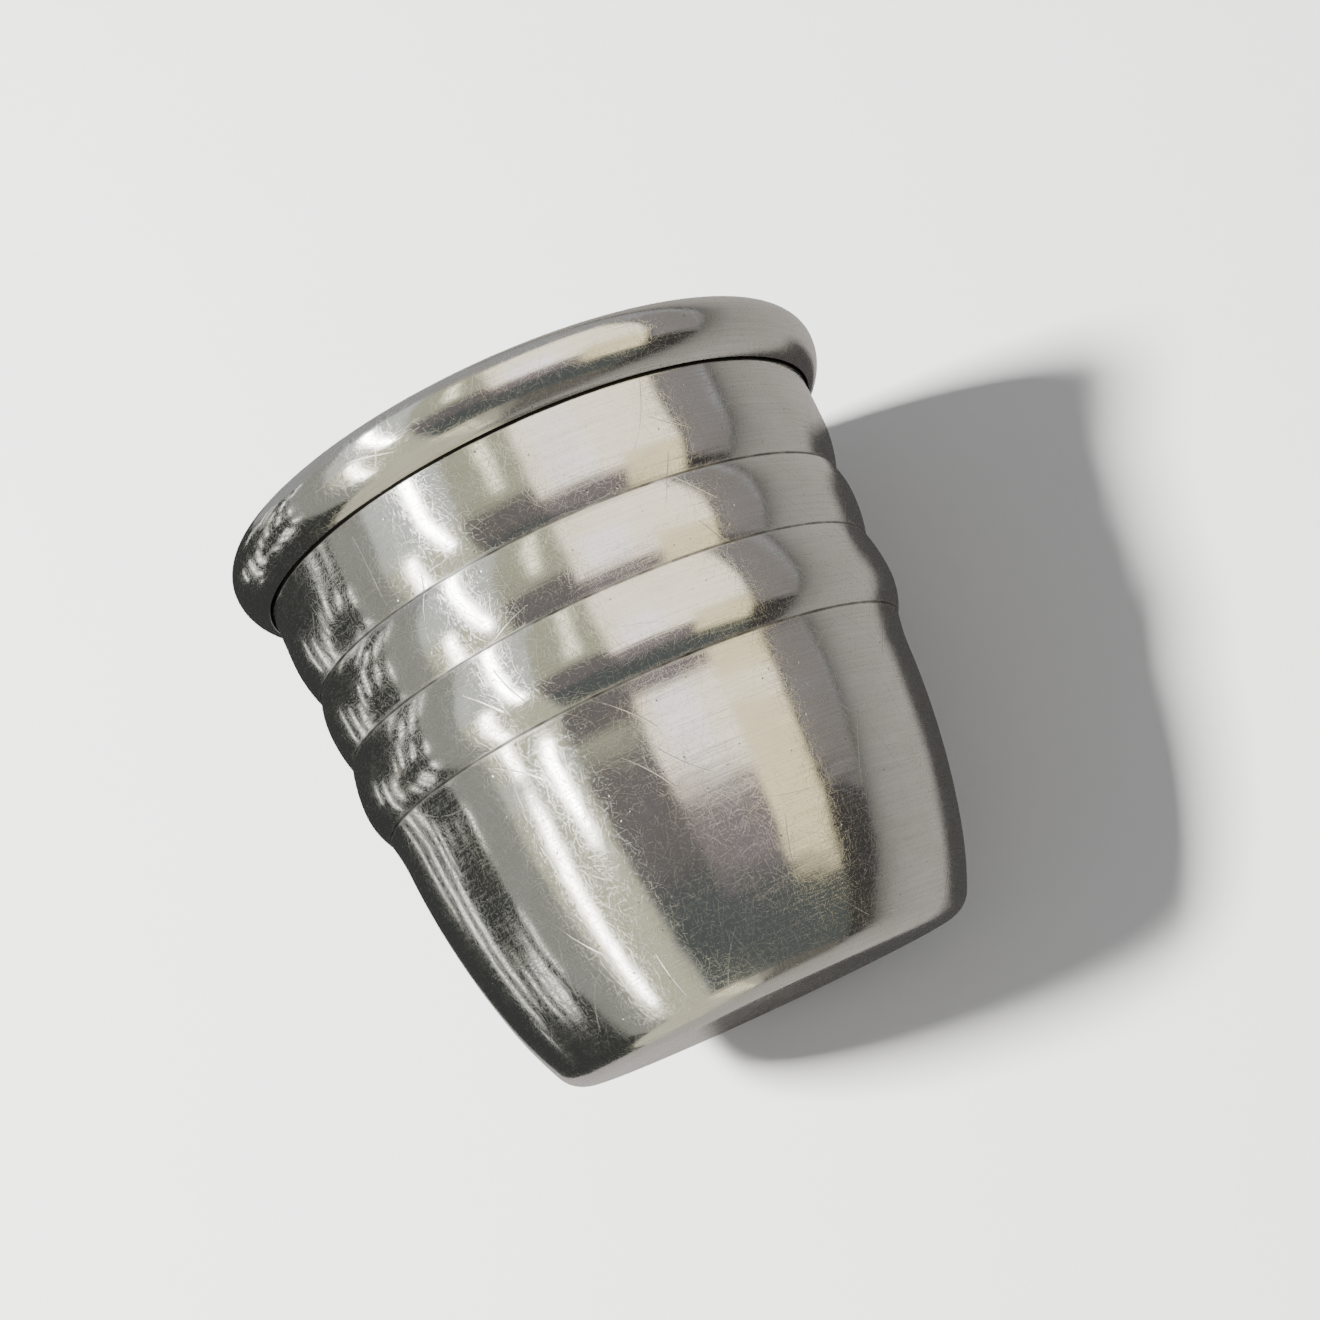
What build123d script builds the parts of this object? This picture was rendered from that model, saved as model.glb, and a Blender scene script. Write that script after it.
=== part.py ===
from build123d import *
import math
import os

# A tumbler cup, upright: +Z along its axis, origin at the centre of its base.
# Every size is in millimetres. Outline points are (radius, height).

# Sheet that the body and the rim bead are made from
SHEET = 0.8

# Wall above the bands
WALL_R = 35.7                # outer radius of the wall under the rim bead
SEAM_Z = 69.3                # butt seam between the body's edge and the rim bead
BAND_1_TURN_Z = 61.0         # the upper band starts to turn inwards here

# The bands meet in sharp valleys, and each lower band is widest between two of them
VALLEY_1 = (34.4, 54.5)
BAND_2_WIDEST = (35.0, 51.0)
VALLEY_2 = (34.15, 45.5)
BAND_3_WIDEST = (34.85, 40.2)
VALLEY_3 = (33.55, 35.5)

# Barrel below the bands, with a hollow groove above it
BARREL_TOP = (32.85, 31.0)
BARREL_MIDDLE = (31.65, 20.2)
BARREL_FOOT = (29.25, 9.7)

# Heel and base
HEEL_R = 4.0                 # radius of the heel where it turns under to the base
STANDING_RING_R = 22.8       # outer radius of the flat ring that the cup stands on
DISH_R = 20.5                # the base is dished inside this radius
DISH_RISE = 0.7              # height of the dish at the axis

# Rim bead: one hollow roll, from the seam over the mouth and down to a lip beside the wall
RIM_R = 38.85                # outermost radius of the cup
BEAD_WIDEST_Z = 70.8         # height of the outermost line
BEAD_CROWN_R = 3.2           # radius of the roll's outer shoulder
BEAD_CROWN_TURN = 45         # degrees that the shoulder turns before the roll tightens
BEAD_LIP = (36.1, 66.2)      # outer edge of the lip, which leaves a slit beside the wall

# Solder that holds the bead to the body, hidden in the hollow of the bead
SOLDER_WIDTH = 0.7
SOLDER_HEIGHT = 2.0


def flank(widest, end):
    """Arc from a band's widest line, where it is upright, to the valley that ends it."""
    direction = (0, 1) if end[1] > widest[1] else (0, -1)
    return TangentArc(widest, end, tangent=direction)


def heel_join(rise):
    """Where the heel's small arc meets the wide arc that runs on from the barrel's foot.

    rise is the barrel's upward direction at its foot. The wide arc is tangent to the barrel there
    and tangent to the small arc, and that fixes its radius.
    """
    foot = Vector(*BARREL_FOOT)
    outward = Vector(rise.Y, -rise.X)
    small_centre = Vector(STANDING_RING_R, HEEL_R)
    reach = foot - small_centre
    wide_r = (reach.length**2 - HEEL_R**2) / (2 * (reach.dot(outward) - HEEL_R))
    wide_centre = foot - outward * wide_r
    return small_centre + (small_centre - wide_centre).normalized() * HEEL_R


def body_outline():
    """Outside of the body sheet, from the axis at the base up to the seam."""
    dish_edge = (DISH_R, 0)
    ring_edge = (STANDING_RING_R, 0)
    band_1_turn = (WALL_R, BAND_1_TURN_Z)
    with BuildLine() as outline:
        TangentArc((0, DISH_RISE), dish_edge, tangent=(1, 0))
        Line(dish_edge, ring_edge)
        barrel = ThreePointArc(BARREL_FOOT, BARREL_MIDDLE, BARREL_TOP)
        join = heel_join(barrel % 0)
        TangentArc(ring_edge, join, tangent=(1, 0))
        TangentArc(BARREL_FOOT, join, tangent=-(barrel % 0))
        TangentArc(BARREL_TOP, VALLEY_3, tangent=barrel % 1)
        flank(BAND_3_WIDEST, VALLEY_3)
        flank(BAND_3_WIDEST, VALLEY_2)
        flank(BAND_2_WIDEST, VALLEY_2)
        flank(BAND_2_WIDEST, VALLEY_1)
        flank(band_1_turn, VALLEY_1)
        Line(band_1_turn, (WALL_R, SEAM_Z))
    return outline.wire()


def bead_outline():
    """Outside of the bead sheet, from the seam on the mouth side round to the lip."""
    mouth_r = WALL_R - SHEET
    widest = (RIM_R, BEAD_WIDEST_Z)
    turn = math.radians(BEAD_CROWN_TURN)
    crown_end = (
        RIM_R - BEAD_CROWN_R * (1 - math.cos(turn)),
        BEAD_WIDEST_Z + BEAD_CROWN_R * math.sin(turn),
    )
    # The tighter arc after the crown comes down tangent to the inside of the wall.
    mouth_roll_r = (crown_end[0] - mouth_r) / (1 + math.cos(turn))
    mouth_roll_end = (mouth_r, crown_end[1] - mouth_roll_r * math.sin(turn))
    with BuildLine() as outline:
        Line((mouth_r, SEAM_Z), mouth_roll_end)
        TangentArc(mouth_roll_end, crown_end, tangent=(0, 1))
        TangentArc(widest, crown_end, tangent=(0, 1))
        TangentArc(widest, BEAD_LIP, tangent=(0, -1))
    return outline.wire()


def ring_from_sheet(outline, inward_side):
    """Gives an outline the sheet's thickness and turns it round the axis."""
    with BuildPart() as ring:
        with BuildSketch(Plane.XZ):
            with BuildLine():
                add(outline)
                offset(amount=SHEET, side=inward_side, closed=True)
            make_face()
        revolve(axis=Axis.Z)
    return ring.part


def solder_ring():
    """A flat ring of solder over the seam, against the outside of the body's edge."""
    middle_r = WALL_R + SOLDER_WIDTH / 2
    with BuildPart() as ring:
        with BuildSketch(Plane.XZ):
            with Locations((middle_r, SEAM_Z)):
                Rectangle(SOLDER_WIDTH, SOLDER_HEIGHT)
        revolve(axis=Axis.Z)
    return ring.part


os.makedirs("parts", exist_ok=True)
pieces = {
    "cup_body": ring_from_sheet(body_outline(), Side.LEFT),
    "rim_bead": ring_from_sheet(bead_outline(), Side.RIGHT),
    "rim_solder": solder_ring(),
}
for name, piece in pieces.items():
    export_step(piece, f"parts/{name}.step")
    box = piece.bounding_box()
    print(f"{name}: {piece.volume:.0f} mm3, {len(piece.solids())} solid")
    print(f"    z {box.min.Z:.2f} to {box.max.Z:.2f}, r {box.max.X:.2f}")
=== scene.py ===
import math
import bpy
from mathutils import Matrix, Vector


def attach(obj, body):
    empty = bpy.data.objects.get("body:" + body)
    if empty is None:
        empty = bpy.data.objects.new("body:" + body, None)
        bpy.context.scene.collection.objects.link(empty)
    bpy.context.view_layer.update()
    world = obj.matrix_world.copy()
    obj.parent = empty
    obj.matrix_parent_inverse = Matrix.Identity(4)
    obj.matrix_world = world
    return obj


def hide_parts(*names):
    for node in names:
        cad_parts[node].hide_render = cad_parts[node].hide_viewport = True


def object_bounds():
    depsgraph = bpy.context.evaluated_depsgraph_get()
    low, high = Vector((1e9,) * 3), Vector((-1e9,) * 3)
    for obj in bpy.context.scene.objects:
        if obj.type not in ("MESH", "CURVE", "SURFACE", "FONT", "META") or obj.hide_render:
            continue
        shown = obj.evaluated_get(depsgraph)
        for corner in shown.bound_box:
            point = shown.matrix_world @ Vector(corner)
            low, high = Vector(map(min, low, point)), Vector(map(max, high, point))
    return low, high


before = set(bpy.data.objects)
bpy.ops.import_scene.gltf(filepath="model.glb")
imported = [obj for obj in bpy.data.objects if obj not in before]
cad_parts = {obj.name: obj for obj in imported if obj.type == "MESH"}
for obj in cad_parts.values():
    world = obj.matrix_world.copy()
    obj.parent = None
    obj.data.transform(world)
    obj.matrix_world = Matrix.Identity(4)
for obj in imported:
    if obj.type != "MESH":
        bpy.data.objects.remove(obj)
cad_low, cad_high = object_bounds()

# A spun silver-plated tumbler. The cup stands on z = 0 with its axis along Z. Its looks are built
# here: finely lathed body and rim bead with the marks of use, silver plate, studio and camera.
# Outline points are (radius, height) in millimetres, as in the CAD. Everything else is in metres.
MM = 0.001

# ---------------------------------------------------------------- the cup's outline
SHEET = 0.8
WALL_R = 35.7
SEAM_Z = 69.3
BAND_1_TURN_Z = 61.0
VALLEY_1 = (34.4, 54.5)
BAND_2_WIDEST = (35.0, 51.0)
VALLEY_2 = (34.15, 45.5)
BAND_3_WIDEST = (34.85, 40.2)
VALLEY_3 = (33.55, 35.5)
BARREL_TOP = (32.85, 31.0)
BARREL_MIDDLE = (31.65, 20.2)
BARREL_FOOT = (29.25, 9.7)
HEEL_R = 4.0
STANDING_RING_R = 22.8
DISH_R = 20.5
DISH_RISE = 0.7
RIM_R = 38.85
BEAD_WIDEST_Z = 70.8
BEAD_CROWN_R = 3.2
BEAD_CROWN_TURN = 45
BEAD_LIP = (36.1, 66.2)

EDGE_ROUND = 0.12            # small round on the free edges of the sheet
VALLEY_ROUND = 0.08          # small round in the bottom of each valley
VALLEY_SHADE_REACH = 0.28          # how far the painted shade reaches from the bottom of a valley
LIP_SHADE_REACH = 0.25             # how far the painted shade reaches out from under the bead's lip
SEGMENTS = 320               # steps round the axis
ARC_STEP = 0.60              # length of the steps along the outline
INSIDE_STEP = 0.70           # least length of the steps along the body's inside
LIP_STEP = 0.08              # length of the steps on the wall beside the bead's lip, where its painted shade starts

# ---------------------------------------------------------------- outline geometry


def unit(v):
    return Vector(v).normalized()


def left_of(v):
    return Vector((-v.y, v.x))


def arc(start, end, direction):
    """Points and directions of the arc from start to end that leaves start along direction."""
    start = Vector(start)
    end = Vector(end)
    direction = unit(direction)
    chord = end - start
    side = chord.dot(left_of(direction))
    turn = 2 * math.atan2(side, chord.dot(direction))
    if abs(turn) < 1e-6:
        return [(start, direction), (end, direction)]
    radius = chord.length / (2 * math.sin(turn / 2))
    centre = start + left_of(direction) * radius
    steps = max(4, math.ceil(abs(radius * turn) / ARC_STEP), math.ceil(abs(math.degrees(turn)) / 5))
    spin = [Matrix.Rotation(turn * i / steps, 2) for i in range(steps + 1)]
    return [(centre + m @ (start - centre), m @ direction) for m in spin]


def line(start, end, step=3 * ARC_STEP):
    """Points and directions of a straight run."""
    start = Vector(start)
    end = Vector(end)
    along = end - start
    steps = max(1, math.ceil(along.length / step))
    return [(start + along * i / steps, along.normalized()) for i in range(steps + 1)]


def reverse(run):
    """The same run, followed from its end to its start."""
    return [(p, -d) for p, d in reversed(run)]


def arc_through(start, middle, end):
    """The arc from start to end that passes through middle."""
    start = Vector(start)
    middle = Vector(middle)
    end = Vector(end)
    a = middle - start
    b = end - start
    cross = 2 * (a.x * b.y - a.y * b.x)
    centre = start + Vector((b.y * a.length_squared - a.y * b.length_squared,
                             a.x * b.length_squared - b.x * a.length_squared)) / cross
    direction = left_of(start - centre)
    if direction.dot(a) < 0:
        direction = -direction
    return arc(start, end, direction)


def flank(widest, end):
    """Arc from a band's widest line, where it is upright, to the valley that ends it."""
    return arc(widest, end, (0, 1) if end[1] > widest[1] else (0, -1))


def heel_join(foot_direction):
    """Where the heel's small arc meets the wide arc that runs on from the barrel's foot."""
    foot = Vector(BARREL_FOOT)
    outward = -left_of(foot_direction)
    small_centre = Vector((STANDING_RING_R, HEEL_R))
    reach = foot - small_centre
    wide_r = (reach.length_squared - HEEL_R ** 2) / (2 * (reach.dot(outward) - HEEL_R))
    wide_centre = foot - outward * wide_r
    return small_centre + (small_centre - wide_centre).normalized() * HEEL_R


def body_runs():
    """Runs of the body's outer outline, from the axis at the base up to the seam."""
    barrel = arc_through(BARREL_FOOT, BARREL_MIDDLE, BARREL_TOP)
    rise = barrel[0][1]
    join = heel_join(rise)
    turn_1 = (WALL_R, BAND_1_TURN_Z)
    below_lip = (WALL_R, BEAD_LIP[1] - 0.5)
    behind_lip = (WALL_R, BEAD_LIP[1] + 0.2)
    return [
        arc((0, DISH_RISE), (DISH_R, 0), (1, 0)),
        line((DISH_R, 0), (STANDING_RING_R, 0)),
        arc((STANDING_RING_R, 0), join, (1, 0)),
        reverse(arc(BARREL_FOOT, join, -rise)),
        barrel,
        arc(BARREL_TOP, VALLEY_3, barrel[-1][1]),
        reverse(flank(BAND_3_WIDEST, VALLEY_3)),
        flank(BAND_3_WIDEST, VALLEY_2),
        reverse(flank(BAND_2_WIDEST, VALLEY_2)),
        flank(BAND_2_WIDEST, VALLEY_1),
        reverse(flank(turn_1, VALLEY_1)),
        line(turn_1, below_lip),
        line(below_lip, behind_lip, LIP_STEP),
        line(behind_lip, (WALL_R, SEAM_Z)),
    ]


def bead_runs():
    """Runs of the bead's outer outline, from the seam on the mouth side round to the lip."""
    mouth_r = WALL_R - SHEET
    widest = (RIM_R, BEAD_WIDEST_Z)
    turn = math.radians(BEAD_CROWN_TURN)
    crown_end = (
        RIM_R - BEAD_CROWN_R * (1 - math.cos(turn)),
        BEAD_WIDEST_Z + BEAD_CROWN_R * math.sin(turn),
    )
    mouth_roll_r = (crown_end[0] - mouth_r) / (1 + math.cos(turn))
    mouth_roll_end = (mouth_r, crown_end[1] - mouth_roll_r * math.sin(turn))
    return [
        line((mouth_r, SEAM_Z), mouth_roll_end),
        arc(mouth_roll_end, crown_end, (0, 1)),
        reverse(arc(widest, crown_end, (0, 1))),
        arc(widest, BEAD_LIP, (0, -1)),
    ]


def offset_runs(runs, inward):
    """The sheet's other side. inward is 1 where it lies to the left of the outline and -1 to the right.
    A corner that opens on this side is filled with an arc about its tip."""
    points = []
    last = None
    for run in runs:
        if last is not None:
            tip, before = last
            after = run[0][1]
            turn = math.atan2(before.x * after.y - before.y * after.x, before.dot(after))
            if abs(turn) > 0.02:
                fan = [Matrix.Rotation(turn * i / 6, 2) @ before for i in range(1, 6)]
                points += [tip + left_of(d) * inward * SHEET for d in fan]
        points += [p + left_of(d) * inward * SHEET for p, d in run]
        last = run[-1]
    return points


def clean(points, least=0.02):
    """The points without those that lie on the one before them."""
    kept = [points[0]]
    for p in points[1:]:
        if (p - kept[-1]).length > least:
            kept.append(p)
    return kept


def round_corners(points, radius, sharp, closed=False):
    """Rounds each corner that turns by more than sharp degrees, over about radius each side of it.
    A curve takes the corner's place, with one more point before it and one after it."""
    made = []
    count = len(points)
    for i, p in enumerate(points):
        if not closed and i in (0, count - 1):
            made.append(p)
            continue
        before = p - points[i - 1]
        after = points[(i + 1) % count] - p
        turn = abs(math.atan2(before.x * after.y - before.y * after.x, before.dot(after)))
        if turn < math.radians(sharp):
            made.append(p)
            continue
        start = p - before.normalized() * min(radius, 0.4 * before.length)
        end = p + after.normalized() * min(radius, 0.4 * after.length)
        made.append(start.lerp(p - before, 0.3))
        for t in (0, 0.25, 0.5, 0.75, 1):
            made.append(start * (1 - t) ** 2 + p * 2 * t * (1 - t) + end * t ** 2)
        made.append(end.lerp(p + after, 0.3))
    return made


def outer_points(runs):
    return clean([p for run in runs for p, d in run])


def body_section():
    """The body's section: from the axis under the base up the outside, and down the inside to the axis."""
    runs = body_runs()
    outside = round_corners(outer_points(runs), VALLEY_ROUND, 12)
    inside = clean(offset_runs(runs, 1), INSIDE_STEP)[::-1]
    inside[-1] = Vector((0, inside[-1].y))
    edge = round_corners(outside[-2:] + inside[:2], EDGE_ROUND, 40)
    return outside[:-2] + edge + inside[2:]


def bead_section():
    """The bead's section, all the way round it, and the place in it where the lip's edge starts."""
    runs = bead_runs()
    outside = outer_points(runs)
    inside = clean(offset_runs(runs, -1))[::-1]
    rounded = round_corners(outside + inside, EDGE_ROUND, 40, closed=True)
    lip = min(range(len(rounded)), key=lambda i: (rounded[i] - Vector(BEAD_LIP)).length)
    return rounded, lip


def body_painted_shade(section):
    """1 where shade is painted into the plate: in the valleys, and on the wall behind the bead's lip."""
    shade_amount = []
    for p in section:
        gap = min((p - Vector(v)).length for v in (VALLEY_1, VALLEY_2, VALLEY_3))
        in_valley = min(0.7, 1.3 * (1 - gap / VALLEY_SHADE_REACH))
        behind_lip = (p.y - BEAD_LIP[1]) / LIP_SHADE_REACH + 1.5 if p.x > WALL_R - 0.1 else 0.0
        shade_amount.append(min(1.0, max(0.0, in_valley, behind_lip)))
    return shade_amount


# ---------------------------------------------------------------- marks of use on the shape


DENTS = (
    # azimuth in degrees from the front, height, width round, width along, depth, all in mm
    (-72, 35.5, 2.2, 1.2, 0.16),
    (-64, 24.0, 3.0, 6.0, 0.05),
    (-30, 44.0, 5.0, 3.0, 0.03),
    (128, 18.0, 4.0, 4.0, 0.10),
    (-150, 49.0, 4.0, 3.0, 0.06),
    (60, 15.0, 6.0, 5.0, 0.04),
)
RIPPLES = (
    # waves round the cup, waves over its height, phase, depth in mm
    (3, 0.6, 0.4, 0.030),
    (5, 1.3, 2.1, 0.016),
    (11, 2.2, 1.0, 0.008),
    (23, 3.7, 4.4, 0.004),
)


def hand_made(angle, height):
    """How far the sheet lies inside its true circle, in mm, where it isn't perfectly round any more."""
    depth = sum(
        d * (1 + math.sin(k * angle + w * math.tau * height / SEAM_Z + phase)) / 2
        for k, w, phase, d in RIPPLES
    )
    for azimuth, z, across, along, dent in DENTS:
        gap = (angle - math.radians(azimuth) + math.pi) % math.tau - math.pi
        round_way = gap * WALL_R / across
        if abs(round_way) < 4:
            depth += dent * math.exp(-(round_way ** 2) - ((height - z) / along) ** 2)
    return depth


# ---------------------------------------------------------------- meshes


def lathe(name, section, painted_shade, closed):
    """Turns a section round the axis. A section that isn't closed starts and ends on the axis.
    Its third argument is how much shade is painted on the surface at each point of the section, from 0 to
    1."""
    outward = sum(a.x * b.y - b.x * a.y for a, b in zip(section, section[1:])) > 0
    distance = [0.0]
    for a, b in zip(section, section[1:]):
        distance.append(distance[-1] + (b - a).length)
    vertices = []
    along = []
    shade_amount = []
    rings = []
    for p, s, point_shade in zip(section, distance, painted_shade):
        first = len(vertices)
        if p.x < 1e-6:
            vertices.append((0.0, 0.0, p.y * MM))
            along.append(s)
            shade_amount.append(point_shade)
            rings.append([first] * SEGMENTS)
            continue
        for i in range(SEGMENTS):
            angle = math.tau * i / SEGMENTS
            fade = min(1.0, p.x / STANDING_RING_R) ** 3
            r = (p.x - hand_made(angle, p.y) * fade) * MM
            vertices.append((r * math.sin(angle), -r * math.cos(angle), p.y * MM))
            along.append(s)
            shade_amount.append(point_shade)
        rings.append(list(range(first, first + SEGMENTS)))
    if closed:
        rings.append(rings[0])
    faces = []
    for low, high in zip(rings, rings[1:]):
        for i in range(SEGMENTS):
            j = (i + 1) % SEGMENTS
            corners = list(dict.fromkeys([low[i], low[j], high[j], high[i]]))
            faces.append(corners if outward else corners[::-1])
    mesh = bpy.data.meshes.new(name)
    mesh.from_pydata(vertices, [], faces)
    mesh.attributes.new("along_outline", "FLOAT", "POINT").data.foreach_set("value", along)
    mesh.attributes.new("painted_shade", "FLOAT", "POINT").data.foreach_set("value", shade_amount)
    mesh.shade_smooth()
    mesh.update()
    piece = bpy.data.objects.new(name, mesh)
    bpy.context.scene.collection.objects.link(piece)
    return piece


# ---------------------------------------------------------------- materials


class Nodes:
    """Short calls for building one material's node tree."""

    def __init__(self, name):
        self.material = bpy.data.materials.new(name)
        self.material.use_nodes = True
        self.tree = self.material.node_tree
        self.tree.nodes.clear()

    def add(self, kind, **settings):
        node = self.tree.nodes.new(kind)
        for key, value in settings.items():
            setattr(node, key, value)
        return node

    def put(self, socket, value):
        if isinstance(value, bpy.types.NodeSocket):
            self.tree.links.new(value, socket)
        else:
            socket.default_value = value

    def finish(self, shader):
        """Shows the shader on the surface, and gives the finished material."""
        out = self.add("ShaderNodeOutputMaterial")
        self.put(out.inputs["Surface"], shader.outputs[0])
        return self.material

    def math(self, operation, a, b):
        node = self.add("ShaderNodeMath", operation=operation)
        self.put(node.inputs[0], a)
        self.put(node.inputs[1], b)
        return node.outputs[0]

    def absolute(self, value):
        node = self.add("ShaderNodeMath", operation="ABSOLUTE")
        self.put(node.inputs[0], value)
        return node.outputs[0]

    def ramp(self, value, low, high, from_low=0.0, from_high=1.0):
        """value mapped from one range to another, and kept inside it."""
        node = self.add("ShaderNodeMapRange")
        self.put(node.inputs["Value"], value)
        node.inputs["From Min"].default_value = from_low
        node.inputs["From Max"].default_value = from_high
        node.inputs["To Min"].default_value = low
        node.inputs["To Max"].default_value = high
        return node.outputs["Result"]

    def vector(self, x, y, z=0.0):
        node = self.add("ShaderNodeCombineXYZ")
        for socket, value in zip(node.inputs, (x, y, z)):
            self.put(socket, value)
        return node.outputs[0]

    def scale(self, vector, factors):
        node = self.add("ShaderNodeVectorMath", operation="MULTIPLY")
        self.put(node.inputs[0], vector)
        node.inputs[1].default_value = factors
        return node.outputs[0]

    def noise(self, vector, scale, detail=2.0, roughness=0.5):
        node = self.add("ShaderNodeTexNoise")
        self.put(node.inputs["Vector"], vector)
        node.inputs["Scale"].default_value = scale
        node.inputs["Detail"].default_value = detail
        node.inputs["Roughness"].default_value = roughness
        return node.outputs["Fac"]

    def surface_mm(self):
        """Position on the sheet in mm: round the cup, and along its outline."""
        place = self.add("ShaderNodeTexCoord").outputs["Object"]
        split = self.add("ShaderNodeSeparateXYZ")
        self.put(split.inputs[0], place)
        x, y, _ = split.outputs
        angle = self.math("ARCTAN2", x, self.math("MULTIPLY", y, -1.0))
        along = self.add("ShaderNodeAttribute", attribute_name="along_outline").outputs["Fac"]
        return self.vector(self.math("MULTIPLY", angle, WALL_R), along)

    def strokes(self, place, size, width, length, density, seed):
        """A layer of short, slightly bent scratches, at most one to a cell, each with its own direction.
        1 in the middle of a scratch. width and length are to each side of its middle."""
        cell = self.add("ShaderNodeTexVoronoi", voronoi_dimensions="2D")
        moved = self.add("ShaderNodeVectorMath", operation="ADD")
        self.put(moved.inputs[0], place)
        moved.inputs[1].default_value = (17.3 * seed, 9.1 * seed, 0)
        cell.inputs["Scale"].default_value = 1.0 / size
        self.put(cell.inputs["Vector"], moved.outputs[0])
        centre = cell.outputs["Position"]
        local = self.add("ShaderNodeVectorMath", operation="SUBTRACT")
        self.put(local.inputs[0], moved.outputs[0])
        self.put(local.inputs[1], centre)
        tint = self.add("ShaderNodeSeparateColor")
        self.put(tint.inputs[0], cell.outputs["Color"])
        turned = self.add("ShaderNodeVectorRotate", rotation_type="Z_AXIS")
        self.put(turned.inputs["Vector"], local.outputs[0])
        self.put(turned.inputs["Angle"], self.math("MULTIPLY", tint.outputs[0], math.tau))
        split = self.add("ShaderNodeSeparateXYZ")
        self.put(split.inputs[0], turned.outputs[0])
        squared = self.math("MULTIPLY", split.outputs[0], split.outputs[0])
        bent = self.math("MULTIPLY", squared, 0.15 / size)
        across = self.absolute(self.math("SUBTRACT", split.outputs[1], bent))
        thin = self.ramp(across, 1.0, 0.0, 0.0, width)
        short = self.ramp(self.absolute(split.outputs[0]), 1.0, 0.0, 0.6 * length, length)
        there = self.math("LESS_THAN", tint.outputs[1], density)
        return self.math("MULTIPLY", self.math("MULTIPLY", thin, short), there)

    def total(self, *values):
        result = values[0]
        for value in values[1:]:
            result = self.math("ADD", result, value)
        return result

    def times(self, a, b):
        return self.math("MULTIPLY", a, b)


SCRATCHES = (
    # cell size, half width and half length in mm, share of the cells that have one
    (0.40, 0.040, 0.32, 0.50),
    (0.65, 0.040, 0.55, 0.60),
    (1.0, 0.045, 0.9, 0.70),
    (1.7, 0.045, 1.5, 0.8),
    (2.9, 0.050, 2.6, 0.8),
)
LONG_SCRATCH = (7.0, 0.08, 5.5, 0.4)
POLISH = 0.06                # roughness of the plate between the scratches
BUMP = 0.012 * MM            # depth of a mark whose height is 1
CLEAN_SILVER = (0.84, 0.825, 0.79, 1)
TARNISHED = (0.76, 0.74, 0.67, 1)
BRUSHED = (0.3, 0.3, 0.28, 1)             # multiplies the silver's colour in the brush lines
MARKED = (0.45, 0.43, 0.38, 1)            # multiplies it in the pits and the long scratches
# Painted shade: the near-black colour laid into the valleys, on the wall under the bead's lip and inside
# the bead's roll.
SHADE_COLOUR = (0.035, 0.032, 0.028, 1)


def blend(n, factor, a, b, how="MIX"):
    """Colour a turned towards colour b, or multiplied by it."""
    node = n.add("ShaderNodeMix", data_type="RGBA", blend_type=how)
    n.put(node.inputs["Factor"], factor)
    n.put(node.inputs["A"], a)
    n.put(node.inputs["B"], b)
    return node.outputs["Result"]


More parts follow.
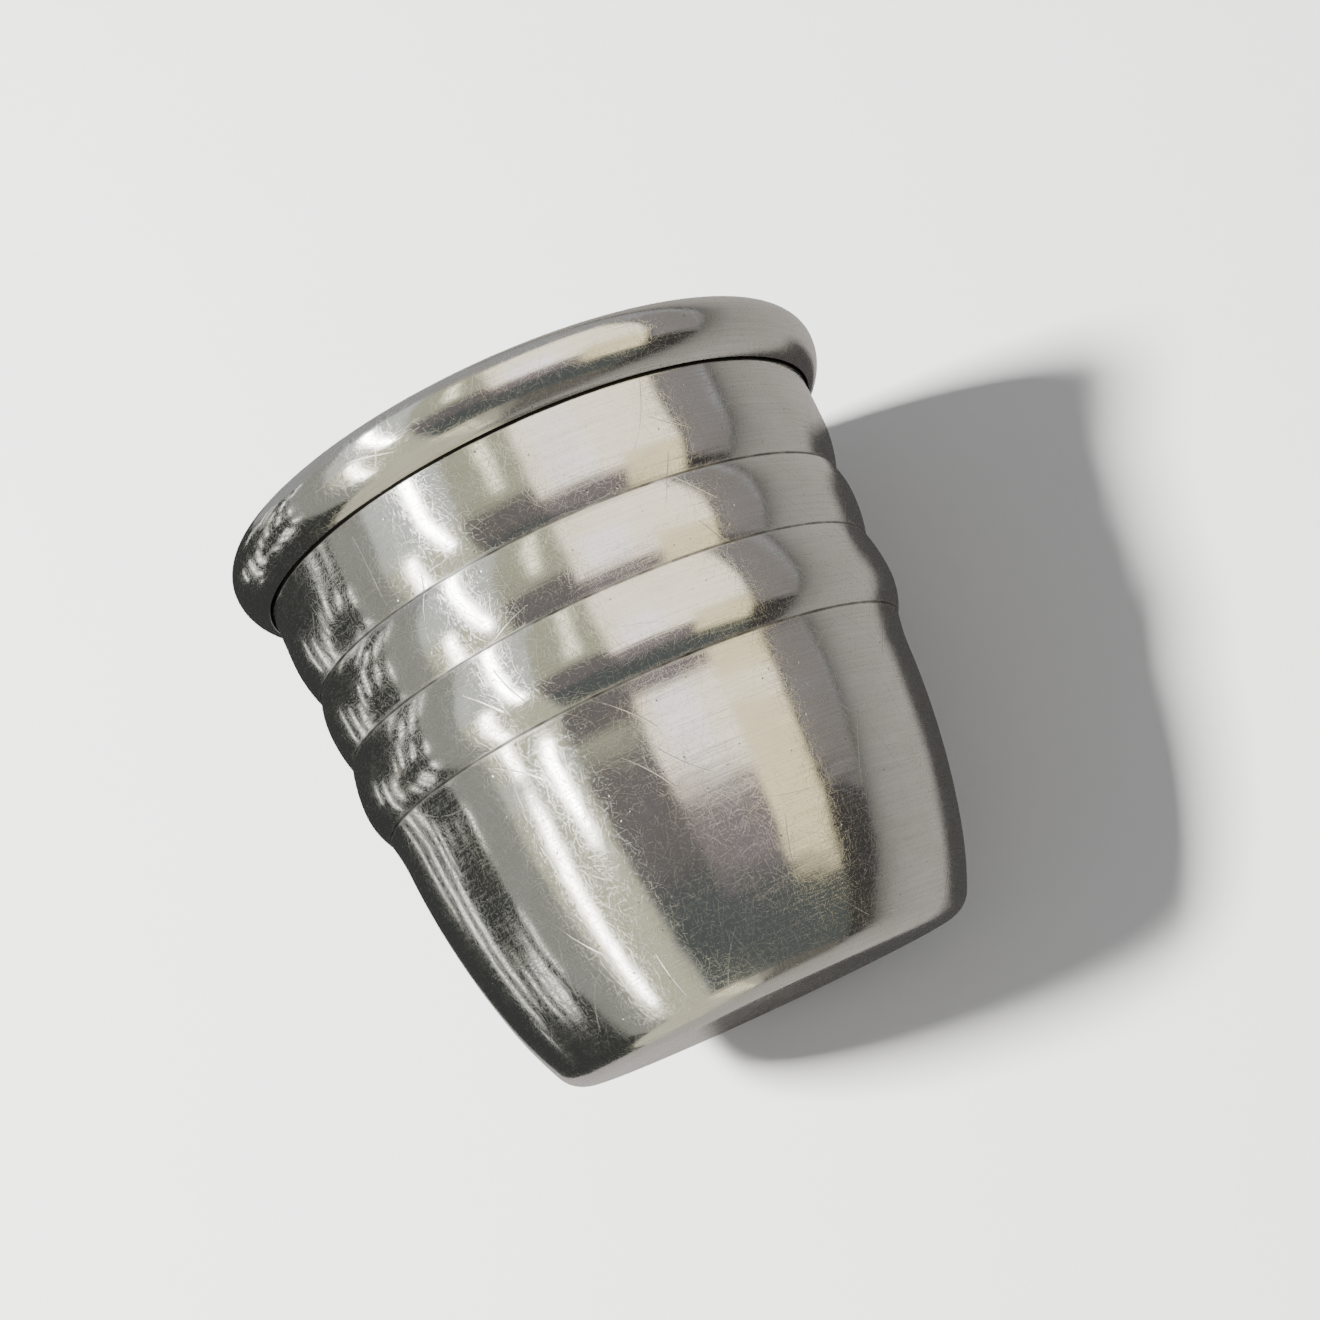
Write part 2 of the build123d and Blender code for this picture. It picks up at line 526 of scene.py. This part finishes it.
def silver_plate():
    """Polished silver plate: brushed round the cup, with fine scratches all over, pits and faint tarnish.
    The scratches and brush lines are rougher than the polish between them, and hardly deeper."""
    n = Nodes("silver_plate")
    place = n.surface_mm()
    brushing = n.noise(n.scale(place, (0.08, 4.0, 1.0)), 1.0, 4.0, 0.7)
    waves = n.noise(n.scale(place, (0.16, 0.30, 1.0)), 1.0, 1.0, 0.5)
    cloud = n.noise(place, 0.16, 3.0, 0.55)
    patch = n.noise(place, 0.35, 2.0, 0.5)
    fine = [n.strokes(place, *scratch, seed + 1) for seed, scratch in enumerate(SCRATCHES)]
    haze = n.math("MINIMUM", 1.0, n.total(*fine))
    long = n.strokes(place, *LONG_SCRATCH, len(SCRATCHES) + 1)
    pits = n.add("ShaderNodeTexVoronoi", voronoi_dimensions="2D")
    pits.inputs["Scale"].default_value = 0.16
    n.put(pits.inputs["Vector"], place)
    pit = n.ramp(pits.outputs["Distance"], 1.0, 0.0, 0.006, 0.026)
    # Mask of the painted shade, carried on the mesh: the valleys, the wall under the bead's lip and the
    # inside of the bead's roll.
    painted_shade = n.add("ShaderNodeAttribute", attribute_name="painted_shade").outputs["Fac"]

    height = n.total(
        n.times(brushing, 0.5),
        n.times(waves, 3.0),
        n.times(haze, -0.12),
        n.times(long, -0.6),
        n.times(pit, -1.2),
    )
    bump = n.add("ShaderNodeBump")
    bump.inputs["Strength"].default_value = 1.0
    bump.inputs["Distance"].default_value = BUMP
    n.put(bump.inputs["Height"], height)

    lined = n.total(n.ramp(brushing, 0.0, 0.26, 0.35, 0.70), n.times(haze, 0.10))
    marked = n.math("MINIMUM", n.times(n.total(pit, n.times(long, 0.3)), 0.7), 1.0)
    # Painted shade in the valleys, under the bead's lip and inside its roll, broken up by a noise patch.
    # The same mask also makes the plate rougher there.
    shade_amount = n.ramp(n.math("SUBTRACT", painted_shade, n.times(patch, 0.5)), 0.0, 1.0, 0.1, 0.6)
    colour = blend(n, n.ramp(cloud, 0.0, 1.0, 0.35, 0.75), CLEAN_SILVER, TARNISHED)
    colour = blend(n, lined, colour, BRUSHED, "MULTIPLY")
    colour = blend(n, marked, colour, MARKED, "MULTIPLY")
    colour = blend(n, shade_amount, colour, SHADE_COLOUR)

    rough = n.total(
        n.ramp(cloud, POLISH * 0.8, POLISH * 1.3, 0.3, 0.7),
        n.times(patch, 0.02),
        n.times(n.ramp(brushing, 0.0, 1.0, 0.40, 0.70), 0.14),
        n.times(haze, 0.19),
        n.times(long, 0.2),
        n.times(painted_shade, 0.4),
    )

    shader = n.add("ShaderNodeBsdfPrincipled")
    shader.inputs["Metallic"].default_value = 1.0
    shader.inputs["Anisotropic"].default_value = 0.65
    shader.inputs["Anisotropic Rotation"].default_value = 0.25
    tangent = n.add("ShaderNodeTangent", direction_type="RADIAL", axis="Z")
    n.put(shader.inputs["Tangent"], tangent.outputs[0])
    n.put(shader.inputs["Base Color"], colour)
    n.put(shader.inputs["Roughness"], rough)
    n.put(shader.inputs["Normal"], bump.outputs[0])
    return n.finish(shader)


def solder():
    """Dull grey solder, lumpy and slightly mottled."""
    n = Nodes("soft_solder")
    place = n.add("ShaderNodeTexCoord").outputs["Object"]
    lumps = n.noise(place, 900.0, 4.0, 0.6)
    tone = blend(n, lumps, (0.38, 0.38, 0.37, 1), (0.52, 0.52, 0.50, 1))
    bump = n.add("ShaderNodeBump")
    bump.inputs["Distance"].default_value = 0.1 * MM
    n.put(bump.inputs["Height"], lumps)
    shader = n.add("ShaderNodeBsdfPrincipled")
    shader.inputs["Metallic"].default_value = 1.0
    n.put(shader.inputs["Base Color"], tone)
    n.put(shader.inputs["Roughness"], n.ramp(lumps, 0.45, 0.65))
    n.put(shader.inputs["Normal"], bump.outputs[0])
    return n.finish(shader)


def one_sided_floor(name, tone, fill=0.0):
    """Matt floor that is seen from its front only. fill is light of its own, so that no shadow is black."""
    n = Nodes(name)
    grain = n.noise(n.add("ShaderNodeTexCoord").outputs["Object"], 60.0, 2.0)
    darker = [0.98 * c for c in tone]
    matt = n.add("ShaderNodeBsdfDiffuse")
    n.put(matt.inputs["Color"], blend(n, grain, (*darker, 1), (*tone, 1)))
    light = n.add("ShaderNodeEmission")
    light.inputs["Strength"].default_value = fill
    front = n.add("ShaderNodeAddShader")
    n.put(front.inputs[0], matt.outputs[0])
    n.put(front.inputs[1], light.outputs[0])
    clear = n.add("ShaderNodeBsdfTransparent")
    choice = n.add("ShaderNodeMixShader")
    n.put(choice.inputs[0], n.add("ShaderNodeNewGeometry").outputs["Backfacing"])
    n.put(choice.inputs[1], front.outputs[0])
    n.put(choice.inputs[2], clear.outputs[0])
    return n.finish(choice)


def glow(name, colour, strength):
    n = Nodes(name)
    light = n.add("ShaderNodeEmission")
    light.inputs["Color"].default_value = (*colour, 1)
    light.inputs["Strength"].default_value = strength
    return n.finish(light)


# ---------------------------------------------------------------- studio


def stage_object(name, corners, faces, material):
    """A thin sheet of the studio, which is no part of the cup."""
    mesh = bpy.data.meshes.new(name)
    mesh.from_pydata(corners, [], faces)
    mesh.materials.append(material)
    made = bpy.data.objects.new(name, mesh)
    bpy.context.scene.collection.objects.link(made)
    return made


def direction(azimuth, elevation):
    """Unit vector from the cup. Azimuth 0 is towards the front (-Y), and positive to the camera's right."""
    a = math.radians(azimuth)
    e = math.radians(elevation)
    return Vector((math.sin(a) * math.cos(e), -math.cos(a) * math.cos(e), math.sin(e)))


CARD_STEP = 6                # most degrees from one corner of a card's mesh to the next


def card(name, azimuths, elevations, colour, strength, distance):
    """A curved card round the cup, seen only in its reflections."""
    steps = math.ceil((azimuths[1] - azimuths[0]) / CARD_STEP)
    rows = math.ceil((elevations[1] - elevations[0]) / CARD_STEP)
    corners = []
    for j in range(rows + 1):
        elevation = elevations[0] + (elevations[1] - elevations[0]) * j / rows
        for i in range(steps + 1):
            azimuth = azimuths[0] + (azimuths[1] - azimuths[0]) * i / steps
            corners.append(MIDDLE + direction(azimuth, elevation) * distance)
    width = steps + 1
    faces = [
        [j * width + i, j * width + i + 1, (j + 1) * width + i + 1, (j + 1) * width + i]
        for j in range(rows)
        for i in range(steps)
    ]
    made = stage_object(name, corners, faces, glow(name, colour, strength))
    made.visible_camera = False
    made.visible_diffuse = False
    made.visible_shadow = False


LAMP_DISTANCE = 0.8          # nearer than the cards, so that they don't hide the lamps


def softbox(name, low, high, width, power, colour):
    """A studio strip light that reaches between two directions, given as (azimuth, elevation)."""
    ends = [direction(*low), direction(*high)]
    away = (ends[0] + ends[1]).normalized()
    upright = (ends[1] - ends[0]).normalized()
    data = bpy.data.lights.new(name, "AREA")
    data.shape = "RECTANGLE"
    data.size = width
    data.size_y = (ends[1] - ends[0]).length * LAMP_DISTANCE
    data.energy = power
    data.color = colour
    lamp = bpy.data.objects.new(name, data)
    bpy.context.scene.collection.objects.link(lamp)
    lamp.location = MIDDLE + away * LAMP_DISTANCE
    lamp.rotation_mode = "QUATERNION"
    lamp.rotation_quaternion = Matrix((upright.cross(away), upright, away)).transposed().to_quaternion()
    return lamp


# The cup, ready to light
MIDDLE = (cad_low + cad_high) / 2
silver = silver_plate()
body_outline = body_section()
body = lathe("cup_body_silver", body_outline, body_painted_shade(body_outline), closed=False)
bead_outline, lip_edge = bead_section()
# Painted shade inside the bead's roll, from its lip's edge on, which darkens the slit above the wall.
bead_painted_shade = [1.0 if i > lip_edge else 0.0 for i in range(len(bead_outline))]
bead = lathe("rim_bead_silver", bead_outline, bead_painted_shade, closed=True)
for piece, node in ((body, "cup_body"), (bead, "rim_bead")):
    piece.data.materials.append(silver)
    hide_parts(node)
    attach(piece, "root")
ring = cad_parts["rim_solder"]
ring.data.materials.clear()
ring.data.materials.append(solder())

# Floor: this plane stands behind the cup, just clear of band 3 and the barrel, as the surface that it lies
# on in the photograph. A second floor is under its base.
REST_R = 28.62 * MM          # the lying plane's distance from the axis at z = 0
REST_SLOPE = 0.16            # how much further out it is for each unit of height
FLOOR_TURN = 10              # degrees by which the plane's front turns to the camera's left
FLOOR_REACH = 1.6
PALE = (0.80, 0.80, 0.79)
GREY = (0.13, 0.125, 0.12)


def lying_floor(name, x_low, material):
    """The plane that the cup lies on, from x_low to the right."""
    spin = Matrix.Rotation(math.radians(-FLOOR_TURN), 3, "Z")
    places = (
        (x_low, -FLOOR_REACH),
        (FLOOR_REACH, -FLOOR_REACH),
        (FLOOR_REACH, FLOOR_REACH),
        (x_low, FLOOR_REACH),
    )
    corners = [spin @ Vector((x, REST_R + REST_SLOPE * z, z)) for x, z in places]
    return stage_object(name, corners, [range(4)], material)


backdrop = lying_floor("floor_lying", -FLOOR_REACH, one_sided_floor("pale_backdrop", PALE))
backdrop.visible_glossy = False
backdrop.visible_shadow = False
# In reflections the lying floor is a grey one, so that the cup stands out against it.
mirrored = lying_floor("floor_in_reflections", -50 * MM, one_sided_floor("grey_backdrop", GREY, 0.04))
mirrored.visible_camera = False
mirrored.visible_diffuse = False
mirrored.visible_shadow = False
under = stage_object(
    "floor_under_base",
    [
        (-FLOOR_REACH, -FLOOR_REACH, 0),
        (FLOOR_REACH, -FLOOR_REACH, 0),
        (FLOOR_REACH, FLOOR_REACH, 0),
        (-FLOOR_REACH, FLOOR_REACH, 0),
    ],
    [range(4)],
    one_sided_floor("pale_floor", PALE),
)
under.visible_glossy = False
under.visible_diffuse = False
under.visible_shadow = False

# Light: a key for the floor and the shadow, a tall strip and a low one for the highlights on the silver,
# and cards for the rest of the reflections. Directions are (azimuth, elevation) in degrees.
LAMPS = (
    # name, low end, high end, width in m, power in W, colour, whether it lights the floor or the silver
    ("key", (-44, 8), (-42, 17), 0.12, 30, (1, 0.99, 0.97), "floor"),
    ("key_strip", (-36, -11), (-57, 52), 0.045, 3.8, (1, 0.99, 0.98), "silver"),
    ("low_strip", (-59, -38), (-53, 2), 0.055, 1.5, (1, 0.98, 0.93), "silver"),
)
for *strip, lights in LAMPS:
    lamp = softbox(*strip)
    lamp.visible_glossy = lights == "silver"
    lamp.visible_diffuse = lights == "floor"
CARDS = (
    # name, azimuths, elevations, colour, strength, distance
    ("card_left_dark", (-168, -86), (-50, 36), (0.95, 1.0, 0.95), 0.055, 1.20),
    ("card_left_grey", (-86, -66), (-50, 40), (0.97, 1.0, 0.92), 0.36, 1.20),
    ("card_sky", (-66, -30), (2, 60), (0.97, 1.0, 0.97), 0.82, 1.20),
    ("card_middle_left", (-66, -30), (-50, 2), (1.0, 1.0, 0.74), 0.74, 1.20),
    ("card_front", (-30, 0), (2, 60), (1.0, 1.0, 0.74), 0.54, 1.20),
    ("card_cream", (0, 58), (-24, 52), (1.0, 0.90, 0.73), 2.05, 1.20),
    ("card_lilac", (6, 24), (-5, 20), (1.0, 0.91, 0.93), 2.1, 1.17),
    ("card_warm_slit", (-15, -10), (10, 52), (1.0, 0.96, 0.75), 2.4, 1.17),
    ("card_cream_low", (34, 58), (-24, 2), (1.0, 0.88, 0.56), 1.5, 1.18),
    ("card_line", (58.1, 59.7), (-24, 45), (1.0, 0.95, 0.95), 0.02, 1.17),
    ("card_right_grey", (60, 80), (-12, 45), (1.0, 0.93, 0.93), 0.30, 1.20),
    ("card_right_dark", (60, 80), (-60, -12), (1.0, 0.93, 0.93), 0.06, 1.20),
    ("card_low_left", (-30, 0), (-22, 2), (1.0, 0.90, 0.93), 0.19, 1.20),
    ("card_low_middle", (0, 34), (-24, -8), (1.0, 0.86, 0.92), 0.26, 1.17),
    ("card_low_dark", (-28, 60), (-50, -24), (0.87, 0.99, 1.0), 0.12, 1.18),
    ("card_low_dark_left", (-28, 0), (-24, -20), (0.87, 0.99, 1.0), 0.12, 1.17),
    ("card_under_right", (0, 90), (-89, -50), (1.0, 0.95, 0.85), 0.17, 1.20),
    ("card_under_left", (-170, -34), (-89, -50), (1.0, 0.95, 0.75), 0.8, 1.20),
    ("card_under_warm", (-34, -12), (-89, -50), (1.0, 0.93, 0.68), 1.3, 1.20),
    ("card_under_dim", (-12, 0), (-89, -50), (1.0, 0.94, 0.75), 0.6, 1.20),
    ("card_under_edge", (0, 10), (-70, -50), (1.0, 0.94, 0.80), 0.32, 1.17),
)
for made in CARDS:
    card(*made)

# Gaps of light in front of the dark card on the left, in uneven rows. The sines only make them uneven.
GAPS = 34
GAP_FIRST = -128             # azimuth of the first gap
GAP_PITCH = 1.3              # degrees from one gap to the next
GAP_ROWS = (-16, 2, 24)      # elevations of the rows
GAP_COLOUR = (1, 1, 0.95)
GAP_STRENGTH = 2.6
GAP_DISTANCE = 1.15
for i in range(GAPS):
    row = i % len(GAP_ROWS)
    left = GAP_FIRST + GAP_PITCH * i + 2.5 * math.sin(5.1 * i)
    low = GAP_ROWS[row] + 6 * math.sin(2.3 * i + row)
    azimuths = (left, left + 0.8 + 1.2 * abs(math.sin(3.7 * i)))
    elevations = (low, low + 4 + 7 * abs(math.sin(1.9 * i)))
    card(f"card_gap_{i}", azimuths, elevations, GAP_COLOUR, GAP_STRENGTH, GAP_DISTANCE)

world = bpy.data.worlds.new("studio")
bpy.context.scene.world = world
world.use_nodes = True
background = world.node_tree.nodes["Background"]
background.inputs["Color"].default_value = (0.95, 0.96, 1.0, 1)
background.inputs["Strength"].default_value = 0.42

# ---------------------------------------------------------------- camera
CAMERA_DISTANCE = 260.1 * MM
CAMERA_Z = -10.7 * MM
AIM = Vector((5.09 * MM, 0, 42.97 * MM))
CAMERA_ROLL = -0.437
LENS = 59.53

camera_data = bpy.data.cameras.new("camera")
camera_data.lens = LENS
camera_data.sensor_width = 36
camera_data.clip_start = 0.01
camera = bpy.data.objects.new("camera", camera_data)
bpy.context.scene.collection.objects.link(camera)
camera.location = (0, -CAMERA_DISTANCE, CAMERA_Z)
look = (AIM - camera.location).normalized()
flat_right = look.cross(Vector((0, 0, 1))).normalized()
level_up = flat_right.cross(look)
right = math.cos(CAMERA_ROLL) * flat_right + math.sin(CAMERA_ROLL) * level_up
up = math.cos(CAMERA_ROLL) * level_up - math.sin(CAMERA_ROLL) * flat_right
camera.rotation_mode = "QUATERNION"
camera.rotation_quaternion = Matrix((right, up, -look)).transposed().to_quaternion()
bpy.context.scene.camera = camera
